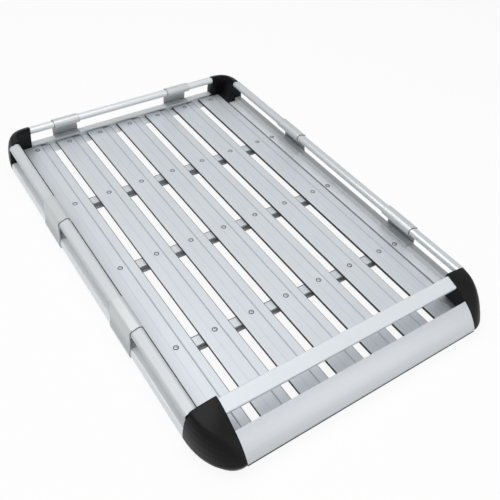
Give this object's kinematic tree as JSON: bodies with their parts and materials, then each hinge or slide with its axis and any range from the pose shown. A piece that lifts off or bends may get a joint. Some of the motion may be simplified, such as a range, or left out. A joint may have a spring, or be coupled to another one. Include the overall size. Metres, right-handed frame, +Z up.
{
  "type": "roof rack",
  "caption": "Open aluminium roof basket for a car: stepped slats on cross members, curved rails, raised oval tubes, a broad curved front fairing and moulded black corners.",
  "frame": {"origin": "middle of the rack, at the level of its underside", "axes": "+X across the car to its left hand seen from the front, -Y towards the fairing at the front, +Z up"},
  "size_m": [0.902, 1.376, 0.129],
  "materials": {
    "slat_aluminium": "satin anodised, fine lengthwise grain",
    "frame_aluminium": "plain mill finish",
    "rail_aluminium": "satin anodised",
    "fairing_aluminium": "satin anodised, smooth",
    "tube_aluminium": "satin anodised, bright",
    "bracket_aluminium": "satin anodised",
    "corner_plastic": "moulded, fine leather grain"
  },
  "bodies": {
    "root": {"slat_1": "slat_aluminium", "slat_2": "slat_aluminium", "slat_3": "slat_aluminium", "slat_4": "slat_aluminium", "slat_5": "slat_aluminium", "slat_6": "slat_aluminium", "slat_7": "slat_aluminium", "cross_member_rear": "frame_aluminium", "cross_member_middle": "frame_aluminium", "cross_member_front": "frame_aluminium", "side_rail_left": "rail_aluminium", "side_rail_right": "rail_aluminium", "rear_rail": "rail_aluminium", "front_fairing": "fairing_aluminium", "side_tube_left": "tube_aluminium", "side_tube_right": "tube_aluminium", "rear_tube": "tube_aluminium", "front_bar": "tube_aluminium", "bracket_left_rear": "bracket_aluminium", "bracket_left_front": "bracket_aluminium", "bracket_right_rear": "bracket_aluminium", "bracket_right_front": "bracket_aluminium", "bracket_back_left": "bracket_aluminium", "bracket_back_right": "bracket_aluminium", "corner_front_left": "corner_plastic", "corner_front_right": "corner_plastic", "corner_rear_left": "corner_plastic", "corner_rear_right": "corner_plastic"}
  },
  "joints": []
}
